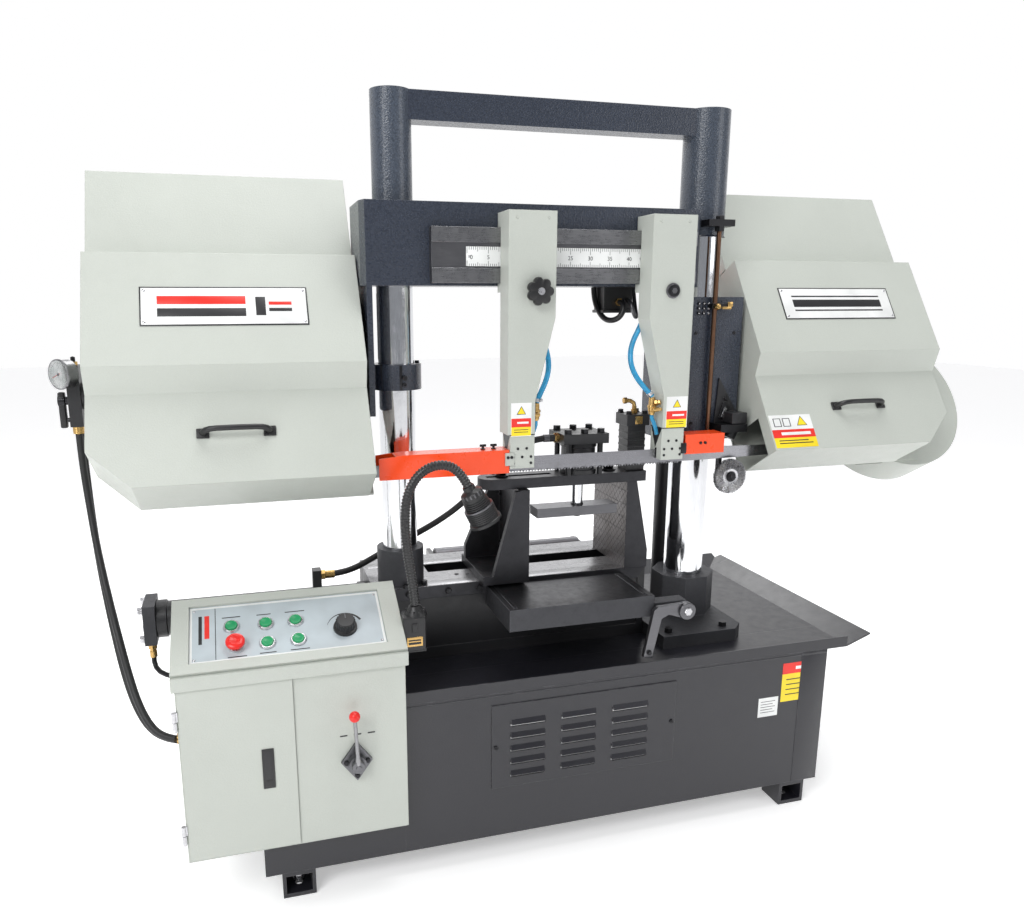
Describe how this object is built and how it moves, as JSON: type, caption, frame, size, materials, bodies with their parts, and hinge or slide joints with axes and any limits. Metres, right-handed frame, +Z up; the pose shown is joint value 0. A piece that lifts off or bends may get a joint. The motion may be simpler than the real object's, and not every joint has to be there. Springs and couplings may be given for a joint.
{
  "type": "horizontal band saw",
  "caption": "Double-column horizontal metal-cutting band saw: saw frame that slides on chromed columns over a vise, with hinged wheel covers, sliding blade guides and a control desk.",
  "frame": {"origin": "centre of the four anchor holes in the feet, on the floor", "axes": "+X along the machine's length, to the drive side on the operator's right; +Y away from the operator; +Z up"},
  "size_m": [2.4359, 0.825, 1.78],
  "materials": {
    "frame_paint": "hammered dark slate enamel, semi gloss",
    "base_paint": "textured charcoal powder coat",
    "panel_paint": "textured light grey-green powder coat",
    "guard_paint": "orange gloss enamel",
    "cylinder_paint": "black enamel and black oxide",
    "cast_dark": "oiled, ground on the working faces",
    "machined": "machined and lightly oiled",
    "chrome": "hard chrome, ground and polished",
    "panel_plate": "brushed, clear coated",
    "black_plastic": "fine grained",
    "grey_plastic": "fine grained",
    "button_green": "moulded",
    "button_metal": "turned",
    "button_red": "moulded",
    "hose_rubber": "smooth black outer cover",
    "hose_blue": "clear blue soft tube",
    "wire": "crimped wire"
  },
  "bodies": {
    "machine": {"base_cabinet": "base_paint", "chip_tray": "base_paint", "mounting_feet": "base_paint", "fixed_bolts": "machined", "cabinet_shell": "panel_paint", "control_panel": "panel_plate", "valve_body": "machined", "vise_bed": "cast_dark", "front_platform": "cast_dark", "columns": "chrome", "column_sockets": "cast_dark", "fixed_cylinders": "cylinder_paint", "fixed_jaw": "cast_dark", "press_bar": "cast_dark", "press_cylinder": "cylinder_paint", "roller_stand": "base_paint", "work_lamp": "black_plastic", "press_hose": "hose_rubber"},
    "saw_frame": {"frame_beam": "frame_paint", "column_tubes": "frame_paint", "frame_hardware": "machined", "guide_rail": "machined", "guide_arm_right": "panel_paint", "blade_guards": "guard_paint", "wheel_box_left": "panel_paint", "wheel_box_right": "panel_paint", "tension_cylinder": "cylinder_paint", "drive_unit": "frame_paint", "belt_cover": "panel_paint", "blade": "machined", "coolant_hose_right": "hose_blue", "hydraulic_hose_1": "hose_rubber", "hydraulic_hose_2": "hose_rubber"},
    "left_guide": {"guide_arm_left": "panel_paint", "blade_guard_left": "guard_paint", "coolant_hose_left": "hose_blue"},
    "guide_clamp": {"clamp_knob": "black_plastic"},
    "left_lid": {"lid_left": "panel_paint", "lid_left_trim": "grey_plastic"},
    "right_lid": {"lid_right": "panel_paint", "lid_right_trim": "grey_plastic"},
    "idler_carriage": {"tension_slide": "machined"},
    "idler": {"idler_wheel": "cast_dark"},
    "driver": {"drive_wheel": "cast_dark"},
    "brush": {"blade_brush": "wire"},
    "bleed_handle": {"tension_handle": "black_plastic"},
    "sliding_jaw": {"moving_jaw": "cast_dark", "vise_rod": "chrome"},
    "press": {"press_rod": "machined"},
    "roller": {"rear_roller": "machined"},
    "door": {"cabinet_door": "panel_paint"},
    "valve_handle": {"valve_lever": "machined"},
    "length_stop": {"stop_arm": "machined"},
    "knob_speed": {"speed_knob": "black_plastic"},
    "button_stop": {"emergency_stop": "button_red"},
    "button_start": {"start_button": "button_green"},
    "button_jaw_open": {"jaw_open_button": "button_green"},
    "button_jaw_close": {"jaw_close_button": "button_metal"},
    "button_up": {"frame_up_button": "button_green"},
    "button_down": {"frame_down_button": "button_metal"}
  },
  "joints": [
    {"name": "frame_lift", "type": "slide", "parent": "machine", "child": "saw_frame", "axis": [0, 0, 1], "range_m": [-0.21, 0.09]},
    {"name": "left_guide_slide", "type": "slide", "parent": "saw_frame", "child": "left_guide", "axis": [1, 0, 0], "range_m": [-0.085, 0.15]},
    {"name": "guide_clamp_turn", "type": "hinge", "parent": "left_guide", "child": "guide_clamp", "pos_m": [-0.052, -0.23, 1.342], "axis": [0, 1, 0], "continuous": true},
    {"name": "left_lid_hinge", "type": "hinge", "parent": "saw_frame", "child": "left_lid", "pos_m": [-0.726, 0.00034, 1.40939], "axis": [-1, 0, 0], "range_deg": [0, 95]},
    {"name": "right_lid_hinge", "type": "hinge", "parent": "saw_frame", "child": "right_lid", "pos_m": [0.839, 0.00034, 1.40939], "axis": [-1, 0, 0], "range_deg": [0, 95]},
    {"name": "blade_tension", "type": "slide", "parent": "saw_frame", "child": "idler_carriage", "axis": [1, 0, 0], "range_m": [0, 0.02]},
    {"name": "idler_spin", "type": "hinge", "parent": "idler_carriage", "child": "idler", "pos_m": [-0.726, -0.04793, 1.16496], "axis": [0, 0.848, -0.5299], "continuous": true},
    {"name": "drive_spin", "type": "hinge", "parent": "saw_frame", "child": "driver", "pos_m": [0.839, -0.04793, 1.16496], "axis": [0, 0.848, -0.5299], "continuous": true},
    {"name": "brush_spin", "type": "hinge", "parent": "saw_frame", "child": "brush", "pos_m": [0.49, -0.187, 0.88], "axis": [0, 1, 0], "continuous": true},
    {"name": "bleed_handle_turn", "type": "hinge", "parent": "saw_frame", "child": "bleed_handle", "pos_m": [-1.095, 0.04237, 1.102], "axis": [1, 0, 0], "range_deg": [0, 90]},
    {"name": "jaw_slide", "type": "slide", "parent": "machine", "child": "sliding_jaw", "axis": [1, 0, 0], "range_m": [-0.03, 0.028]},
    {"name": "press_slide", "type": "slide", "parent": "machine", "child": "press", "axis": [0, 0, 1], "range_m": [-0.014, 0.045]},
    {"name": "roller_spin", "type": "hinge", "parent": "machine", "child": "roller", "pos_m": [0.015, 0.196, 0.603], "axis": [1, 0, 0], "continuous": true},
    {"name": "door_hinge", "type": "hinge", "parent": "machine", "child": "door", "pos_m": [-0.8785, -0.378, 0.36], "axis": [0, 0, -1], "range_deg": [0, 110]},
    {"name": "valve_turn", "type": "hinge", "parent": "machine", "child": "valve_handle", "pos_m": [-0.514, -0.404, 0.345], "axis": [0, 1, 0], "range_deg": [0, 90]},
    {"name": "stop_swing", "type": "hinge", "parent": "machine", "child": "length_stop", "pos_m": [0.31, -0.29, 0.58], "axis": [0, 1, 0], "range_deg": [-8, 135]},
    {"name": "speed_turn", "type": "hinge", "parent": "machine", "child": "knob_speed", "pos_m": [-0.52, -0.30975, 0.63415], "axis": [0, -0.4831, 0.8756], "range_deg": [-135, 135]},
    {"name": "stop_push", "type": "slide", "parent": "machine", "child": "button_stop", "axis": [0, 0.4831, -0.8756], "range_m": [0, 0.004], "stiffness_N_per_m": 2500, "springref_m": -0.001},
    {"name": "start_push", "type": "slide", "parent": "machine", "child": "button_start", "axis": [0, 0.4831, -0.8756], "range_m": [0, 0.0028], "stiffness_N_per_m": 800, "springref_m": -0.001},
    {"name": "jaw_open_push", "type": "slide", "parent": "machine", "child": "button_jaw_open", "axis": [0, 0.4831, -0.8756], "range_m": [0, 0.0028], "stiffness_N_per_m": 800, "springref_m": -0.001},
    {"name": "jaw_close_push", "type": "slide", "parent": "machine", "child": "button_jaw_close", "axis": [0, 0.4831, -0.8756], "range_m": [0, 0.0028], "stiffness_N_per_m": 800, "springref_m": -0.001},
    {"name": "frame_up_push", "type": "slide", "parent": "machine", "child": "button_up", "axis": [0, 0.4831, -0.8756], "range_m": [0, 0.0028], "stiffness_N_per_m": 800, "springref_m": -0.001},
    {"name": "frame_down_push", "type": "slide", "parent": "machine", "child": "button_down", "axis": [0, 0.4831, -0.8756], "range_m": [0, 0.0028], "stiffness_N_per_m": 800, "springref_m": -0.001}
  ],
  "couplings": [
    {"joint": "idler_spin", "follows": "drive_spin", "ratio": 1},
    {"joint": "brush_spin", "follows": "drive_spin", "ratio": -5.65}
  ]
}
